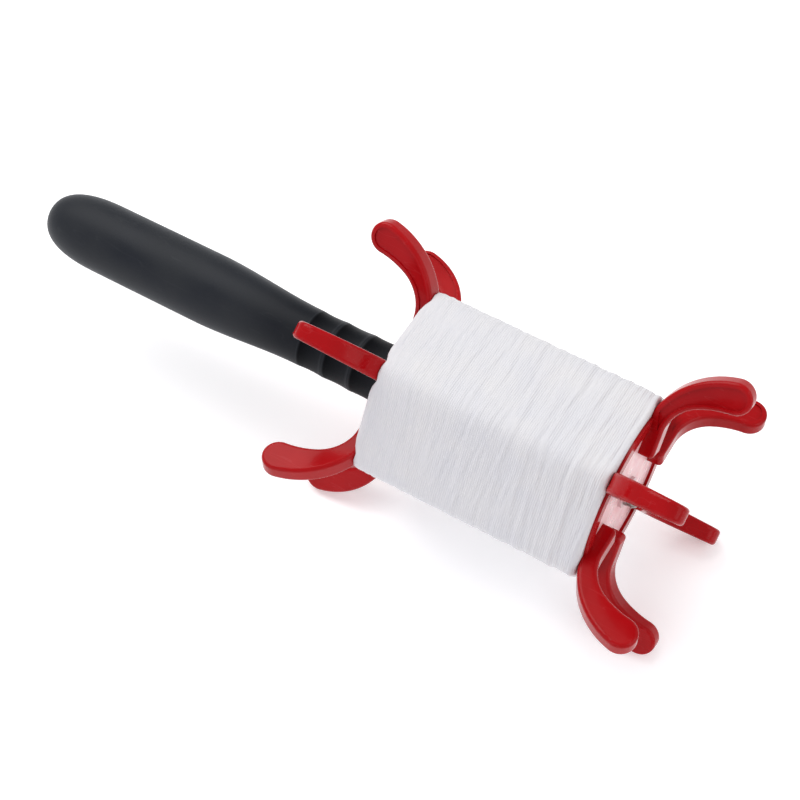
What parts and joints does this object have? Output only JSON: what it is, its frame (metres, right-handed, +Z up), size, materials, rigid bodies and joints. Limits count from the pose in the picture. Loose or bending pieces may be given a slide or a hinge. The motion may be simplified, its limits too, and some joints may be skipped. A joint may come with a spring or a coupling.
{
  "type": "kite line winder",
  "caption": "Hand-held kite line winder: a horned reel wound with white line that spins on an axle in a bat-shaped rubber-gripped handle.",
  "frame": {"origin": "on the table, at the middle of the part's outline seen from above, the winder lying on four horn tips", "axes": "+X along the axle towards the reel's free end, the handle towards -X; +Z up"},
  "size_m": [0.3202, 0.13, 0.1152],
  "materials": {
    "red_plastic": "moulded gloss",
    "pale_plastic": "smooth gloss",
    "bush_plastic": "smooth satin",
    "black_plastic": "satin",
    "black_rubber": "soft matt with a faint sheen",
    "steel": "zinc plated",
    "white_line": "braided thread"
  },
  "bodies": {
    "handle": {"handle_grip": "black_rubber", "handle_core": "black_plastic", "butt_plug": "black_plastic", "handle_collar": "black_plastic", "axle": "steel", "rear_washer": "steel", "front_washer": "steel", "dome_nut": "steel", "lock_washer": "steel", "lock_nut": "steel"},
    "reel": {"reel_half_near": "red_plastic", "reel_half_far": "red_plastic", "front_end_disc": "pale_plastic", "rear_end_disc": "pale_plastic", "front_bush": "bush_plastic", "rear_bush": "bush_plastic", "half_screws": "steel", "line_core": "white_line", "line_turns": "white_line"}
  },
  "joints": [
    {"name": "reel_spin", "type": "hinge", "parent": "handle", "child": "reel", "pos_m": [0.0757, 0, 0.05761], "axis": [1, 0, 0], "continuous": true}
  ]
}
